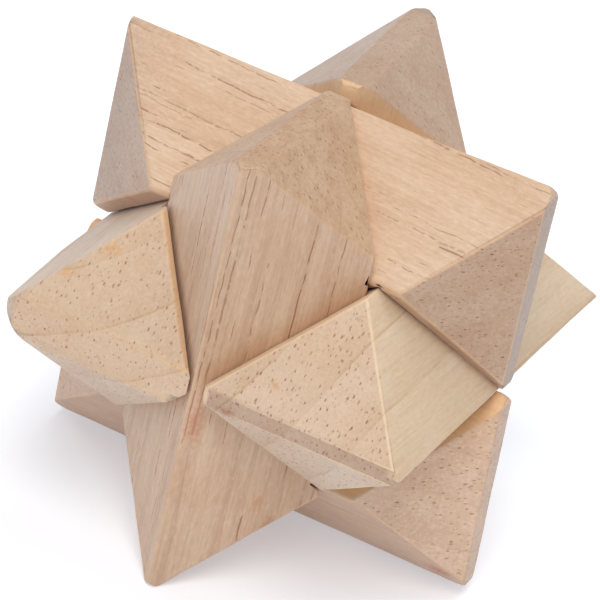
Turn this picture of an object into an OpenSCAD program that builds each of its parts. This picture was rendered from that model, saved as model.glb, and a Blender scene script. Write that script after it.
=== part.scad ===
// Star burr: a wooden take-apart puzzle of six alike square sticks.
// Each stick lies outside the centre with one long edge facing out. Two V notches in its inner edge
// hold the pair of sticks that cross it, and its ends are cut to a roof with a flat strip on top.
// Millimetres. The origin is the centre of the star: X to the right, Y to the back, Z up.

/* [Stick] */
// side of the square wood that every stick is cut from
stock_side = 25; // [15:0.5:45]
// length of a stick between the flat strips on its ends
stick_length = 75; // [50:0.5:140]
// width of the flat strip left between the two slanted cuts of an end
end_flat = 4.2; // [1:0.1:10]
// width taken off each side of a long edge by its small bevel
edge_bevel = 0.8; // [0.3:0.1:3]

/* [Fit] */
// gap between a notch wall and the stick that lies in the notch
fit_gap = 0.3; // [0.1:0.05:1]

/* [Hidden] */

ridge = stock_side * sqrt(2);           // centre of the star to the outer edge of a stick, unbevelled
apex = (stick_length + end_flat) / 2;   // centre to the line where the two cuts of an end would meet
notch_side = stock_side + 2 * fit_gap;  // the crossing stick with its gap on every side
through = 2 * stick_length;             // long enough to cut right through a stick

side_wood = [0.86, 0.69, 0.50];
upright_wood = [0.84, 0.66, 0.47];
cross_wood = [0.89, 0.75, 0.55];

// Cross-section of the stock: a square with a small bevel on each corner.
module stock_section() {
    face = stock_side / 2;
    edge = face - edge_bevel;
    polygon([[face, -edge], [face, edge], [edge, face], [-edge, face],
             [-face, edge], [-face, -edge], [-edge, -face], [edge, -face]]);
}

// Bar along Z with its inner edge on the axis and its outer edge at x = ridge.
module bar() {
    translate([ridge / 2, 0, 0])
        rotate([0, 0, 45])
            linear_extrude(height = stick_length, center = true)
                stock_section();
}

// Everything between the four slanted end cuts of a stick.
module between_end_cuts() {
    rotate([45, 0, 0])
        cube([through, apex * sqrt(2), apex * sqrt(2)], center = true);
}

// Room for the two crossing sticks, which run along Y.
module notches() {
    for (end = [-1, 1])
        translate([0, 0, end * ridge / 2])
            rotate([0, 45, 0])
                cube([notch_side, through, notch_side], center = true);
}

// One stick along Z, outer edge towards +X.
module stick() {
    difference() {
        intersection() {
            bar();
            between_end_cuts();
        }
        notches();
    }
}

// Top and bottom sticks run left to right.
module top_stick() color(side_wood) rotate([0, -90, 0]) stick();
module bottom_stick() color(side_wood) rotate([0, 90, 0]) stick();

// Front and back sticks stand upright.
module front_stick() color(upright_wood) rotate([0, 0, -90]) stick();
module back_stick() color(upright_wood) rotate([0, 0, 90]) stick();

// Left and right sticks run front to back.
module left_stick() color(cross_wood) rotate([0, 0, 180]) rotate([90, 0, 0]) stick();
module right_stick() color(cross_wood) rotate([90, 0, 0]) stick();

top_stick();
bottom_stick();
front_stick();
back_stick();
left_stick();
right_stick();
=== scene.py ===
import math

import bmesh
import bpy
from mathutils import Matrix, Vector, noise


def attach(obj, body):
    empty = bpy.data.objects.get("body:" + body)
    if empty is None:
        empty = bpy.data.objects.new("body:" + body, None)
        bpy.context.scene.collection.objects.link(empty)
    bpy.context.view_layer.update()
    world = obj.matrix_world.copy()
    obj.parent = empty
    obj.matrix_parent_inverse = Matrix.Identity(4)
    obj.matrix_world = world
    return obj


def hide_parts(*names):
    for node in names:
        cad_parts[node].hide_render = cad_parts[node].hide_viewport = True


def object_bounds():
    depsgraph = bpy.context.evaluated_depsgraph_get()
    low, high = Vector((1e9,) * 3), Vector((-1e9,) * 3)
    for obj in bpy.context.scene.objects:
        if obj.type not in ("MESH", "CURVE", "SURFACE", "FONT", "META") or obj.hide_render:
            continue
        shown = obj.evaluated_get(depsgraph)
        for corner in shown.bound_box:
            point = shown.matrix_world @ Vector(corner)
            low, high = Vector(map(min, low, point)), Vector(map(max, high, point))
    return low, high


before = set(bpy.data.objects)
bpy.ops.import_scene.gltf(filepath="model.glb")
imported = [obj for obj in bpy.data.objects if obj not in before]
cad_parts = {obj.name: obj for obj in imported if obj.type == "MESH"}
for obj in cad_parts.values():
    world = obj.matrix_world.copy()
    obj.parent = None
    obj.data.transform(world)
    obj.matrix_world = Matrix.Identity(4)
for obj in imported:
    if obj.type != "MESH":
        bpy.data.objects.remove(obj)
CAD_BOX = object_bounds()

MM = 0.001
STOCK = 25.0                      # side of the square wood, mm
RIDGE = STOCK * math.sqrt(2)      # centre of the star to an outer edge
HALF_LEN = 37.5                   # centre to the flat strip on an end
APEX = 39.6                       # centre to where the two cuts of an end would meet
NOTCH_GAP = 0.32                  # room left round a stick in its notch
BLOCK = 200                       # cube that a stick is cut from
CUTTER_LEN = 120                  # length of the bar that cuts a notch
ROUND_STEPS = 4                   # planes that wrap one rounding
NOSE_ANGLES = (15, 30, 45, 60, 75)    # degrees of the planes that round a tip or a heel
MOUTH_SEGMENTS = 3                # strips of mesh across the rounding of a notch mouth
GRID = 2.5                        # spacing of the cuts that give the mesh points to be bent at
RIPPLES = ((9, 0.07), (2.3, 0.03))    # unevenness of the surface: length and height
TWIST_FROM, TWIST_OVER = 12.5, 8.5    # where the twist of an end starts, and the length it grows over
LEAN_FROM, LEAN_OVER = 16, 21.5       # the same for the drift of an end


def level(*far):
    """Cuts or flats that are as far out at the outer edge as at the inner one."""
    return tuple((f, 0) for f in far)


# ---------------------------------------------------------------- the sticks
# A stick is made lying along z, outer edge towards +x, its width along y, in mm, then turned into place.
# along, out: which way its z and x point in the puzzle. shift: how far it sits from its true place.
# seed: sets the ripples and the grain apart from those of the other sticks.
# ends: the flats (+z, -z), roof: the slanted cuts (+z+y, +z-y, -z+y, -z-y), each as how far out it is at the
#   outer edge and how much further per mm towards the inner edge.
# tips, heels: rounding where the outer edge and the inner edge meet the flats (+z, -z).
# soft: rounding of the outer edge, of the edges of the slanted cuts, of the edges down the sides.
# blend: rounding between the slanted cuts and the flats. mouth: rounding of the notch mouths.
# inner: how much is taken off the inner edge. grow: how far the outer sides (+y, -y) stand out.
# twist: degrees each end is turned. drift: how far each end leans (outer edge, sideways, inner edge).
# room: the gap in the notch for a neighbour, where it is wider than NOTCH_GAP.
X, Y, Z = Vector((1, 0, 0)), Vector((0, 1, 0)), Vector((0, 0, 1))
STICKS = {
    "top": dict(along=X, out=Z, seed=1, shift=(-0.05, -0.07, 0.78),
                ends=((36.8, 0.012), (37.8, 0)), roof=level(APEX, APEX, 39.1, 39.1),
                tips=(1.8, 0.4), heels=(0.9, 2.8), soft=(0.25, 0.95, 1.0), drift=((0.5, 0, -1.4), (0, 0, 0))),
    "bottom": dict(along=X, out=-Z, seed=2, shift=(0.41, -0.64, -0.85),
                   ends=((39.0, -0.037), (37.0, 0.014)),
                   roof=((41.1, -0.037), (41.1, -0.037), (39.2, 0.014), (39.2, 0.014)),
                   tips=(1.2, 1.4), heels=(1.7, 1.0), inner=0.1, grow=(0.4, 0.4),
                   drift=((0, 0, -0.5), (0, 0, -0.6))),
    "front": dict(along=Z, out=-Y, seed=3, shift=(-0.30, -0.25, 0.82),
                  ends=level(HALF_LEN, 38.3), roof=level(APEX, APEX, 39.4, 40.2),
                  tips=(0.9, 1.0), grow=(0, 0.35), room=dict(bottom=0.6)),
    "back": dict(along=Z, out=Y, seed=4, shift=(0.10, -0.35, 2.06),
                 ends=level(37.1, 39.5), roof=level(39.2, APEX, 41.5, 41.5),
                 tips=(0.5, 0.8), twist=(4.1, 0), room=dict(bottom=0.6)),
    "left": dict(along=Y, out=-X, seed=5, shift=(0.24, 0.56, 0.55),
                 ends=level(HALF_LEN, 36.6), roof=level(APEX, APEX, APEX, 41.0),
                 tips=(1.0, 3.2), blend=3.5, mouth=0.5, inner=0.2, grow=(0, 0.5),
                 drift=((0, 0, 0), (-0.6, -0.8, -0.2)), room=dict(front=0.95)),
    "right": dict(along=Y, out=X, seed=6, shift=(0.94, 0.67, 0.22),
                  ends=level(38.3, 38.1), roof=level(38.5, 38.5, APEX, APEX),
                  tips=(0.8, 0.3), soft=(0.2, 0.9, 0.3), drift=((0, 0.3, 0), (0, 0, 0))),
}
USUAL = dict(heels=(1.7, 1.7), soft=(0.4, 0.8, 0.5), blend=1.0, mouth=0.35, inner=0.75, grow=(0, 0),
             twist=(0, 0), drift=((0, 0, 0), (0, 0, 0)), room={})
for s in STICKS.values():
    s["turn"] = Matrix((s["out"], s["along"].cross(s["out"]), s["along"])).transposed()
    s["shift"] = Vector(s["shift"])
    for key, value in USUAL.items():
        s.setdefault(key, value)


def smooth(t):
    """Eases from 0 to 1."""
    t = min(1, max(0, t))
    return t * t * (3 - 2 * t)


def cut(bm, point, normal):
    """Keeps what lies behind a plane and closes the hole."""
    geom = bm.verts[:] + bm.edges[:] + bm.faces[:]
    res = bmesh.ops.bisect_plane(bm, geom=geom, plane_co=point, plane_no=normal, clear_outer=True, dist=1e-5)
    edges = [e for e in res["geom_cut"] if isinstance(e, bmesh.types.BMEdge)]
    if edges:
        bmesh.ops.contextual_create(bm, geom=edges)


def bar_mesh(s):
    """The stick before its notches: square stock on edge with two slanted cuts and a flat on each end."""
    bm = bmesh.new()
    bmesh.ops.create_cube(bm, size=BLOCK)

    def plane(x, y, z, dist):
        """A plane x, y, z . p = dist, as its unit normal and its distance."""
        n = Vector((x, y, z))
        return n.normalized(), dist / n.length

    def rounding(a, b, r):
        """Planes that wrap a radius round the edge where two planes meet."""
        (n1, d1), (n2, d2) = a, b
        c = n1.dot(n2)
        u, v = ((d1 - r) - c * (d2 - r)) / (1 - c * c), ((d2 - r) - c * (d1 - r)) / (1 - c * c)
        axis = n1 * u + n2 * v
        normals = (n1.slerp(n2, (i + 0.5) / ROUND_STEPS) for i in range(ROUND_STEPS))
        return [(n, n.dot(axis) + r) for n in normals]

    outer = {side: plane(1, side, 0, RIDGE + g) for side, g in zip((1, -1), s["grow"])}
    inner = {side: plane(-1, side, 0, 0) for side in (1, -1)}
    planes = [*outer.values(), *inner.values(), plane(-1, 0, 0, -s["inner"])]
    planes += rounding(outer[1], outer[-1], s["soft"][0])
    for side in (1, -1):
        planes += rounding(outer[side], inner[side], s["soft"][2])
    roofs_of = s["roof"][:2], s["roof"][2:]
    for end, (far, lean), tip, heel, roofs in zip((1, -1), s["ends"], s["tips"], s["heels"], roofs_of):
        flat = plane(lean, 0, end, far + lean * RIDGE)
        planes.append(flat)
        for angle in NOSE_ANGLES:
            c, d = math.cos(math.radians(angle)), math.sin(math.radians(angle))
            planes.append(plane(c, 0, end * d, (RIDGE - tip) * c + (far - tip) * d + tip))
            reach = -(s["inner"] + heel) * c + (far + lean * RIDGE - heel) * d + heel
            planes.append(plane(-c, 0, end * d, reach))
        for side, (high, slope) in zip((1, -1), roofs):
            roof = plane(slope, side, end, high + slope * RIDGE)
            planes.append(roof)
            planes += rounding(roof, outer[side], s["soft"][1]) + rounding(roof, inner[side], s["soft"][1])
            planes += rounding(roof, flat, s["blend"])
    for n, dist in planes:
        cut(bm, n * dist, n)
    bmesh.ops.recalc_face_normals(bm, faces=bm.faces)
    return bm


def as_object(bm, name):
    me = bpy.data.meshes.new(name)
    bm.to_mesh(me)
    bm.free()
    ob = bpy.data.objects.new(name, me)
    bpy.context.scene.collection.objects.link(ob)
    return ob


def apply_modifiers(ob):
    """Puts the result of the modifiers in the mesh itself."""
    bpy.context.view_layer.update()
    dg = bpy.context.evaluated_depsgraph_get()
    me = bpy.data.meshes.new_from_object(ob.evaluated_get(dg))
    ob.modifiers.clear()
    old = ob.data
    ob.data = me
    bpy.data.meshes.remove(old)


def notch_cutter(s, other, gap):
    """The square hole that holds the other stick, where that stick really sits."""
    middle = s["turn"].transposed() @ (other["out"] * RIDGE / 2 + other["shift"] - s["shift"])
    side = STOCK + 2 * gap
    m = Matrix.Translation((middle.x, 0, middle.z)) @ Matrix.Rotation(math.pi / 4, 4, "Y")
    bm = bmesh.new()
    bmesh.ops.create_cube(bm, size=1, matrix=m @ Matrix.Diagonal((side, CUTTER_LEN, side, 1)))
    return as_object(bm, "cutter")


def in_notch(face):
    """Whether a face is a wall of a notch: these look inwards and along the stick."""
    m = face.calc_center_median()
    return face.normal.x < -0.5 and abs(face.normal.z) > 0.5 and (abs(m.z) < 33 or face.normal.z * m.z < 0)


def make_stick(body, s):
    """The finished stick: notches, rounded mouths, where its rims are painted lighter for wear and as a painted
    highlight, where it is cut, and the faults of hand work.
    """
    ob = as_object(bar_mesh(s), body + "_piece")
    for name, other in STICKS.items():
        if abs(other["along"].dot(s["turn"].col[1])) > 0.5:
            cutter = notch_cutter(s, other, s["room"].get(name, NOTCH_GAP))
            mod = ob.modifiers.new("notch", "BOOLEAN")
            mod.operation, mod.solver, mod.object = "DIFFERENCE", "EXACT", cutter
            apply_modifiers(ob)
            bpy.data.objects.remove(cutter)

    bm = bmesh.new()
    bm.from_mesh(ob.data)
    bmesh.ops.remove_doubles(bm, verts=bm.verts, dist=0.01)
    bmesh.ops.dissolve_limit(bm, angle_limit=0.01, verts=bm.verts, edges=bm.edges)
    bm.normal_update()
    weight = bm.edges.layers.float.new("bevel_weight_edge")
    for e in bm.edges:
        sharp = len(e.link_faces) == 2 and e.is_convex and e.calc_face_angle() > 0.3
        if sharp and any(in_notch(f) for f in e.link_faces):
            e[weight] = s["mouth"]
    bm.to_mesh(ob.data)
    bm.free()
    mod = ob.modifiers.new("round", "BEVEL")
    mod.limit_method, mod.width, mod.segments = "WEIGHT", 1.0, MOUTH_SEGMENTS
    mod.offset_type, mod.miter_outer, mod.use_clamp_overlap = "OFFSET", "MITER_ARC", True
    apply_modifiers(ob)

    bm = bmesh.new()
    bm.from_mesh(ob.data)
    # how much a vertex's rim is painted lighter, for wear and as a painted highlight: how far the largest face
    # beside it is turned from every flat side
    flats = [Vector(n).normalized() for n in ((1, 1, 0), (1, -1, 0), (-1, 1, 0), (-1, -1, 0), (-1, 0, 0), (0, 0, 1),
             (0, 0, -1), (0, 1, 1), (0, -1, 1), (0, 1, -1), (0, -1, -1), (-1, 0, 1), (-1, 0, -1))]
    rim_wear_and_highlight, across = bm.verts.layers.float.new("edge"), bm.verts.layers.float.new("endgrain")
    sawn = bm.verts.layers.float.new("notch")
    bm.normal_update()
    for v in bm.verts:
        main = max(v.link_faces, key=lambda f: f.calc_area()).normal
        v[rim_wear_and_highlight] = min(1, (1 - max(main.dot(n) for n in flats)) * 18) * (0.25 if abs(main.x) < 0.05 else 1)
        v[sawn] = 1.0 if main.x < -0.6 else 0.0
        v[across] = 0.0 if main.x < -0.6 else main.z ** 2
    for axis in range(3):
        lo = min(v.co[axis] for v in bm.verts)
        hi = max(v.co[axis] for v in bm.verts)
        n = int((hi - lo) / GRID)
        for i in range(1, n):
            co, no = Vector(), Vector()
            co[axis] = lo + (hi - lo) * i / n
            no[axis] = 1
            geom = bm.verts[:] + bm.edges[:] + bm.faces[:]
            bmesh.ops.bisect_plane(bm, geom=geom, plane_co=co, plane_no=no, dist=1e-4)
    bmesh.ops.remove_doubles(bm, verts=bm.verts, dist=0.005)
    bm.normal_update()
    away = Vector((31.7, 11.3, 5.9)) * s["seed"]
    for v in bm.verts:
        v.co += v.normal * sum(noise.noise(v.co / length + away) * height for length, height in RIPPLES)
        end = 0 if v.co.z > 0 else 1
        turned = math.radians(s["twist"][end]) * smooth((abs(v.co.z) - TWIST_FROM) / TWIST_OVER)
        v.co = Matrix.Rotation(turned, 3, "Z") @ v.co
        lean = max(0, abs(v.co.z) - LEAN_FROM) / LEAN_OVER
        outer, side, inner = s["drift"][end]
        share = v.co.x / RIDGE
        v.co.x += (outer * share + inner * (1 - share)) * lean
        v.co.y += side * lean
    place = Matrix.Translation(Vector(s["shift"]) * MM) @ s["turn"].to_4x4() @ Matrix.Scale(MM, 4)
    bm.transform(place)
    bmesh.ops.recalc_face_normals(bm, faces=bm.faces)
    bm.to_mesh(ob.data)
    bm.free()
    ob.data.shade_smooth()
    mod = ob.modifiers.new("normals", "WEIGHTED_NORMAL")
    mod.keep_sharp = False
    mod.weight = 90
    return ob


# ---------------------------------------------------------------- wood
class Nodes:
    """Short names for building a node tree."""

    def __init__(self, mat):
        self.t = mat.node_tree
        self.t.nodes.clear()

    def add(self, kind, **props):
        n = self.t.nodes.new("ShaderNode" + kind)
        for k, v in props.items():
            setattr(n, k, v)
        return n

    def wire(self, value, socket):
        if isinstance(value, bpy.types.NodeSocket):
            self.t.links.new(value, socket)
        else:
            socket.default_value = value

    def math(self, op, a, b=0.0):
        n = self.add("Math", operation=op)
        self.wire(a, n.inputs[0])
        self.wire(b, n.inputs[1])
        return n.outputs[0]

    def span(self, v, a, b, lo=0.0, hi=1.0):
        """Goes smoothly from lo to hi while v goes from a to b."""
        n = self.add("MapRange", interpolation_type="SMOOTHSTEP")
        self.wire(v, n.inputs[0])
        for i, x in enumerate((a, b, lo, hi)):
            self.wire(x, n.inputs[i + 1])
        return n.outputs[0]

    def noise(self, vec, scale, detail=2.0, rough=0.5, stretch=None):
        if stretch:
            vec = self.stretch(vec, stretch)
        n = self.add("TexNoise")
        self.wire(vec, n.inputs["Vector"])
        n.inputs["Scale"].default_value = scale
        n.inputs["Detail"].default_value = detail
        n.inputs["Roughness"].default_value = rough
        return n.outputs["Fac"]

    def stretch(self, vec, by):
        n = self.add("VectorMath", operation="MULTIPLY")
        self.wire(vec, n.inputs[0])
        n.inputs[1].default_value = by
        return n.outputs[0]

    def mix(self, fac, a, b, blend="MIX"):
        n = self.add("Mix", data_type="RGBA", blend_type=blend)
        self.wire(fac, n.inputs[0])
        self.wire(a, n.inputs[6])
        self.wire(b, n.inputs[7])
        return n.outputs[2]


def rgb(r, g, b):
    """A colour as seen on screen, 0 to 255, to linear light."""
    linear = (c / 255 / 12.92 if c <= 10 else ((c / 255 + 0.055) / 1.055) ** 2.4 for c in (r, g, b))
    return (*linear, 1.0)


def wood(name, s):
    """The wood of one stick, with the look that LOOKS gives it."""
    mat = bpy.data.materials.new(name)
    mat.use_nodes = True
    k = Nodes(mat)
    coord = k.add("TexCoord")
    # into the stick's own frame, in mm: z along the grain
    to_stick = k.add("Mapping", vector_type="POINT")
    k.wire(coord.outputs["Object"], to_stick.inputs["Vector"])
    to_stick.inputs["Rotation"].default_value = s["turn"].transposed().to_euler()
    to_stick.inputs["Scale"].default_value = (1000, 1000, 1000)
    at = to_stick.outputs[0]
    tilt = k.add("Mapping", vector_type="POINT")
    k.wire(at, tilt.inputs["Vector"])
    tilt.inputs["Rotation"].default_value = (math.radians(s["lean"][0]), math.radians(s["lean"][1]), 0)
    tilt.inputs["Location"].default_value = (s["seed"] * 37.0, s["seed"] * 61.0, s["seed"] * 83.0)
    p = tilt.outputs[0]

    # growth rings: distance from a pith line well outside the stick
    cx, cy, ring = s["pith"]
    centre = k.add("VectorMath", operation="SUBTRACT")
    k.wire(k.stretch(at, (1, 1, 0.0)), centre.inputs[0])
    centre.inputs[1].default_value = (cx, cy, 0)
    length = k.add("VectorMath", operation="LENGTH")
    k.wire(centre.outputs[0], length.inputs[0])
    wobble = k.noise(p, 1.0, 2, 0.5, (0.06, 0.06, 0.02))
    dist = k.math("ADD", length.outputs["Value"], k.math("MULTIPLY", wobble, 2.2))
    phase = k.math("FRACT", k.math("DIVIDE", dist, ring))
    band = k.math("POWER", phase, 3.0)
    line = k.span(phase, 0.94, 0.985, 0, 1)
    line = k.math("MULTIPLY", line, k.span(k.noise(p, 0.06, 2), 0.4, 0.62))

    # the last three numbers are how fast each changes per mm, across the grain twice and along it
    fibre = k.noise(p, 1.0, 3, 0.65, (2.3, 2.3, 0.09))
    fleck = k.noise(p, 1.0, 2, 0.6, (1.9, 1.9, 0.75))
    streak = k.noise(p, 1.0, 2, 0.5, (0.55, 0.55, 0.018))
    mottle = k.noise(p, 1.0, 3, 0.55, (0.10, 0.10, 0.045))

    base = k.mix(k.span(mottle, 0.35, 0.65), s["pale"], s["warm"])
    base = k.mix(k.math("MULTIPLY", k.span(streak, 0.42, 0.75), s["streaks"]), base, s["brown"])
    base = k.mix(k.math("MULTIPLY", band, s["bands"]), base, s["brown"])
    base = k.mix(k.math("MULTIPLY", line, s["bands"] * 2), base, s["brown"])
    base = k.mix(k.math("MULTIPLY", k.span(fibre, 0.38, 0.70), s["fibres"]), base, s["brown"])
    base = k.mix(k.math("MULTIPLY", k.span(fleck, 0.5, 0.72), s["flecks"]), base, s["brown"])
    base = k.mix(k.math("MULTIPLY", k.span(fleck, 0.5, 0.3), s["flecks"]), base, s["cream"])

    # vessels: tubes that wander along the grain, so they show as dashes along it and as dots across it
    reach, pace = s["wander"]
    sway = k.add("TexNoise")
    k.wire(k.stretch(p, (0.3, 0.3, pace)), sway.inputs["Vector"])
    sway.inputs["Scale"].default_value = 1.0
    sway.inputs["Detail"].default_value = 1.0
    bent = k.add("VectorMath", operation="ADD")
    k.wire(p, bent.inputs[0])
    k.wire(k.stretch(sway.outputs["Color"], (reach, reach, 0.0)), bent.inputs[1])
    crowd = k.span(k.noise(p, 1.0, 2, 0.5, (0.11, 0.11, 0.05)), 0.35, 0.6, 0.45, 1.0)
    pores = None
    for cell, size, share, dark in s["vessels"]:
        v = k.add("TexVoronoi", feature="F1", voronoi_dimensions="2D")
        k.wire(k.stretch(bent.outputs[0], (1, 0.62, 1)), v.inputs["Vector"])
        v.inputs["Scale"].default_value = 1 / cell
        v.inputs["Randomness"].default_value = 1.0
        pick = k.add("SeparateColor")
        k.wire(v.outputs["Color"], pick.inputs[0])
        keep = k.math("LESS_THAN", pick.outputs[0], k.math("MULTIPLY", crowd, share))
        rad = k.math("MULTIPLY", k.math("ADD", k.math("MULTIPLY", pick.outputs[1], 0.7), 0.6), size / cell)
        inside = k.math("DIVIDE", v.outputs["Distance"], rad)
        dot = k.math("MULTIPLY", k.span(inside, 0.4, 1.0, 1, 0), keep)
        broken = k.span(k.noise(p, 1.0, 2, 0.6, (1.1, 1.1, s["breaks"])), 0.38, 0.5)
        dot = k.math("MULTIPLY", dot, broken)
        dot = k.math("MULTIPLY", dot, k.math("ADD", k.math("MULTIPLY", pick.outputs[2], 0.5), dark - 0.25))
        pores = dot if pores is None else k.math("MAXIMUM", pores, dot)
    across = k.add("Attribute", attribute_name="endgrain")
    cross = k.span(across.outputs["Fac"], 0.1, 0.4)
    pores = k.math("MULTIPLY", pores, k.math("ADD", k.math("MULTIPLY", cross, 1 - s["dashes"]), s["dashes"]))
    colour = k.mix(pores, base, s["pore"])

    # stains and small knots with ragged outlines, and on the top stick one wide grey patch of painted shade that
    # darkens its -z end
    for x, y, z, rx, ry, rz, amount, tint in s["marks"]:
        away = k.add("VectorMath", operation="SUBTRACT")
        k.wire(at, away.inputs[0])
        away.inputs[1].default_value = (x, y, z)
        size = k.add("VectorMath", operation="LENGTH")
        k.wire(k.stretch(away.outputs[0], (1 / rx, 1 / ry, 1 / rz)), size.inputs[0])
        ragged = k.math("ADD", size.outputs["Value"], k.math("MULTIPLY", k.noise(p, 1.5, 3, 0.65), 2.4))
        colour = k.mix(k.math("MULTIPLY", k.span(ragged, 1.3, 2.2, 1, 0), amount), colour, tint)

    # the slanted cuts and the flats on the ends have a tone of their own: partly the darker end grain, partly
    # painted shade and light for the way these faces are turned to the lamps
    colour = k.mix(cross, colour, s["endgrain"], "MULTIPLY")
    colour = k.mix(k.span(across.outputs["Fac"], 0.65, 0.95), colour, s["flat"], "MULTIPLY")

    # freshly cut walls of the notches
    sawn = k.add("Attribute", attribute_name="notch")
    colour = k.mix(k.math("MULTIPLY", sawn.outputs["Fac"], 0.45), colour, s["raw"])

    # rims painted lighter: partly wear, partly a painted highlight on the rounded edges
    edge = k.add("Attribute", attribute_name="edge")
    rim_wear_and_highlight_mask = k.math("MULTIPLY", edge.outputs["Fac"], k.span(k.noise(p, 0.35, 3, 0.6), 0.3, 0.6, 0.4, 1.0))
    colour = k.mix(k.math("MULTIPLY", rim_wear_and_highlight_mask, 0.42), colour, s["rim_wear_and_highlight"])

    bsdf = k.add("BsdfPrincipled")
    k.wire(colour, bsdf.inputs["Base Color"])
    rough = k.math("ADD", k.math("MULTIPLY", fibre, 0.16), 0.42)
    k.wire(k.math("ADD", rough, k.math("MULTIPLY", pores, 0.2)), bsdf.inputs["Roughness"])
    bsdf.inputs["Specular IOR Level"].default_value = 0.5
    bsdf.inputs["Sheen Weight"].default_value = 0.16
    bsdf.inputs["Sheen Tint"].default_value = (0.78, 0.88, 1.0, 1)
    bsdf.inputs["Sheen Roughness"].default_value = 0.45
    height = k.math("SUBTRACT", k.math("MULTIPLY", fibre, 0.5), pores)
    bump = k.add("Bump")
    bump.inputs["Strength"].default_value = 0.6
    bump.inputs["Distance"].default_value = 0.0001
    k.wire(height, bump.inputs["Height"])
    k.wire(bump.outputs[0], bsdf.inputs["Normal"])
    out = k.add("OutputMaterial")
    k.t.links.new(bsdf.outputs[0], out.inputs[0])
    return mat


RUST, HONEY = rgb(170, 98, 52), rgb(204, 148, 84)
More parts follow.
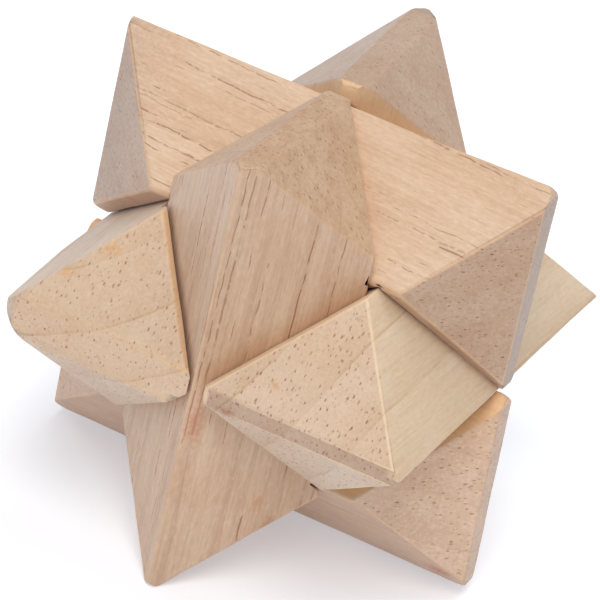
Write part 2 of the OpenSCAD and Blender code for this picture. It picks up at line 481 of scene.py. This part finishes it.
# cream, pale, warm, brown: the wood itself. pore: the vessels. worn: rims, lighter partly for wear and partly as a
# painted highlight. raw: walls of the notches.
# endgrain, flat: what the colour is multiplied by on every cut across the grain, and once more on the flats. Partly
# the tone of end grain, partly painted shade and light, set per stick for the way its cuts and flats face.
# lean: degrees the grain is tilted about x and y. pith: the centre of the rings (x, y) and their width, mm.
# vessels: spacing and radius in mm, the share that is kept and how dark, for each kind.
# wander: how far vessels sway, mm, and how fast along the grain. breaks: how fast they come and go along it.
# dashes: how strong they are along the grain, next to 1 across it.
# streaks, bands, fibres, flecks: how strong each pattern is.
# marks: centre (x, y, z) and radii (x, y, z) in the stick's frame, mm, then strength and colour. Most are stains and
# knots; the first on the top stick is painted shade.
LOOKS = {
    "top": dict(pale=rgb(215, 187, 160), warm=rgb(209, 176, 147), brown=rgb(176, 134, 98), pore=rgb(128, 86, 54),
                lean=(3, 2), pith=(80, 40, 7), vessels=[(0.95, 0.16, 0.9, 0.52), (0.7, 0.11, 0.6, 0.4)],
                wander=(0.6, 0.35), breaks=1.0, dashes=1.0, streaks=0.22, bands=0.10, fibres=0.24, flecks=0.2,
                endgrain=(0.80, 0.76, 0.76, 1), flat=(0.86, 0.9, 0.94, 1),
                rim_wear_and_highlight=rgb(214, 168, 124), raw=rgb(186, 134, 92),
                # first mark: painted shade, a wide grey patch over the -z end of this stick; second: a rust stain
                marks=((18, 0, -37, 30, 30, 13, 0.35, rgb(160, 142, 130)), (17, -18, 11, 2, 2, 2, 0.4, RUST))),
    "bottom": dict(pale=rgb(202, 167, 138), warm=rgb(195, 156, 124), brown=rgb(162, 120, 90), pore=rgb(150, 102, 70),
                   lean=(1, -2), pith=(-60, 30, 8), vessels=[(0.95, 0.17, 0.95, 0.75), (0.7, 0.11, 0.6, 0.45)],
                   wander=(0.5, 0.16), breaks=0.3, dashes=0.4, streaks=0.2, bands=0.14, fibres=0.15,
                   endgrain=(1.2, 1.28, 1.38, 1), flat=(0.88, 0.85, 0.82, 1), rim_wear_and_highlight=rgb(222, 186, 150),
                   marks=((33, -3, 35, 3.5, 2.5, 3, 0.8, RUST),)),
    "front": dict(pale=rgb(210, 180, 152), warm=rgb(203, 168, 138), brown=rgb(164, 122, 90), pore=rgb(158, 98, 64),
                  lean=(1, 1), pith=(70, -60, 8), vessels=[(0.9, 0.16, 0.95, 0.7), (0.75, 0.12, 0.7, 0.6)],
                  wander=(0.6, 0.22), breaks=0.6, dashes=0.9, streaks=0.3, bands=0.12, fibres=0.25,
                  rim_wear_and_highlight=rgb(214, 170, 132), endgrain=(0.91, 0.89, 0.84, 1),
                  marks=((35, 1, -7, 3, 2, 5, 0.6, rgb(186, 122, 92)),
                         (25, 10, -22, 1.4, 1.4, 2.4, 0.5, rgb(196, 134, 80)),
                         (23, 12, -26, 1.6, 1.6, 2.4, 0.5, RUST), (33, -2, -12, 3, 1.5, 4, 0.35, RUST))),
    "back": dict(pale=rgb(203, 176, 154), warm=rgb(196, 167, 143), brown=rgb(164, 122, 92), pore=rgb(146, 104, 76),
                 lean=(-1, 2), pith=(60, 70, 8), vessels=[(1.0, 0.16, 0.8, 0.55), (0.7, 0.11, 0.6, 0.4)],
                 wander=(0.5, 0.2), breaks=0.3, dashes=0.5, streaks=0.2, bands=0.12, fibres=0.18, marks=()),
    "left": dict(pale=rgb(205, 181, 156), warm=rgb(201, 172, 146), brown=rgb(178, 138, 100), pore=rgb(154, 108, 74),
                 lean=(1, 1), pith=(60, 70, 9), vessels=[(0.95, 0.17, 0.9, 0.7), (0.7, 0.11, 0.6, 0.4)],
                 wander=(0.5, 0.2), breaks=0.3, dashes=0.5, streaks=0.15, bands=0.22, fibres=0.12,
                 # flat: painted light, the flats of this stick made lighter to look as lit as the slanted cut above
                 # them
                 rim_wear_and_highlight=rgb(232, 200, 160), endgrain=(1.0, 1.0, 1.0, 1), flat=(1.08, 1.05, 1.02, 1),
                 marks=((27, 7.5, -32, 2.2, 1.6, 2.2, 0.5, HONEY), (22, 12, -28, 2.6, 1.8, 2.6, 0.5, HONEY))),
    "right": dict(pale=rgb(221, 201, 174), warm=rgb(217, 193, 164), brown=rgb(184, 148, 108), pore=rgb(158, 112, 74),
                  lean=(2, -1), pith=(-62, -42, 9), vessels=[(0.92, 0.17, 0.98, 0.75), (0.7, 0.11, 0.7, 0.5)],
                  wander=(0.4, 0.25), breaks=0.4, dashes=0.12, streaks=0.12, bands=0.24, fibres=0.2,
                  # flat: painted shade, the flats of this stick made darker for the way they face the lamps
                  rim_wear_and_highlight=rgb(230, 203, 167), endgrain=(0.88, 0.83, 0.84, 1), flat=(0.80, 0.74, 0.73, 1),
                  marks=((6.5, 1, -37.5, 2.2, 1.4, 2, 0.6, RUST), (12, -5, -34, 1.0, 0.9, 1.0, 0.6, HONEY),
                         (19, -16, -24, 1.0, 1.0, 1.0, 0.5, RUST))),
}
USUAL_LOOK = dict(rim_wear_and_highlight=rgb(216, 172, 126), raw=rgb(238, 192, 136), cream=rgb(232, 212, 184), flecks=0.16,
                  endgrain=(0.91, 0.91, 0.91, 1), flat=(0.94, 0.94, 0.94, 1))
for body, s in STICKS.items():
    s.update({**USUAL_LOOK, **LOOKS[body]})
    piece = make_stick(body, s)
    piece.data.materials.clear()
    piece.data.materials.append(wood("wood_" + body, s))
    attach(piece, body)
    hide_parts(body + "_stick")

# ---------------------------------------------------------------- floor, light, camera
FLOOR_HALF, FLOOR_DROP = 4.0, 0.0002    # half its side, and how far it lies below the part, m
FLOOR_LOOK = {"Base Color": (0.74, 0.765, 0.805, 1), "Roughness": 0.9, "Emission Color": (0.325, 0.335, 0.36, 1),
              "Emission Strength": 1.0, "Specular IOR Level": 0.1}
SKY_COLOUR, SKY_STRENGTH = (0.92, 0.98, 1.08, 1), 0.32
LENS, SENSOR = 284.34, 36               # mm
NEAREST, FURTHEST = 0.05, 20            # what the camera sees, m
CAMERA_PLACE = (0.22653, -0.61632, 0.37019)
CAMERA_AHEAD, CAMERA_UP = (-0.3002, 0.8178, -0.4910), (-0.3778, 0.3707, 0.8484)

bm = bmesh.new()
bmesh.ops.create_grid(bm, x_segments=8, y_segments=8, size=FLOOR_HALF)
floor = as_object(bm, "floor")
floor.location.z = CAD_BOX[0][2] - FLOOR_DROP
mat = bpy.data.materials.new("floor_white")
mat.use_nodes = True
for socket, value in FLOOR_LOOK.items():
    mat.node_tree.nodes["Principled BSDF"].inputs[socket].default_value = value
floor.data.materials.append(mat)

world = bpy.data.worlds.new("studio")
bpy.context.scene.world = world
world.use_nodes = True
world.node_tree.nodes["Background"].inputs[0].default_value = SKY_COLOUR
world.node_tree.nodes["Background"].inputs[1].default_value = SKY_STRENGTH


def area(name, place, size, power, colour):
    """A round lamp that points at the middle of the part."""
    data = bpy.data.lights.new(name, "AREA")
    data.shape, data.size, data.energy, data.color = "DISK", size, power, colour
    ob = bpy.data.objects.new(name, data)
    bpy.context.scene.collection.objects.link(ob)
    ob.location = place
    ob.rotation_euler = (-Vector(place)).to_track_quat("-Z", "Y").to_euler()


area("key", (0.22, -0.95, 1.45), 1.2, 20.0, (1.0, 0.955, 0.89))
area("over", (0.15, 0.55, 1.4), 1.2, 9.0, (1.0, 0.97, 0.93))
area("fill", (-1.3, 0.1, 0.8), 1.2, 3.0, (0.88, 0.95, 1.0))

cam_data = bpy.data.cameras.new("camera")
cam_data.lens, cam_data.sensor_width = LENS, SENSOR
cam_data.clip_start, cam_data.clip_end = NEAREST, FURTHEST
camera = bpy.data.objects.new("camera", cam_data)
bpy.context.scene.collection.objects.link(camera)
ahead = Vector(CAMERA_AHEAD).normalized()
right = ahead.cross(Vector(CAMERA_UP)).normalized()
up = right.cross(ahead)
m = Matrix((right, up, -ahead)).transposed().to_4x4()
m.translation = CAMERA_PLACE
camera.matrix_world = m
bpy.context.scene.camera = camera
bpy.context.scene.view_settings.view_transform = "Standard"
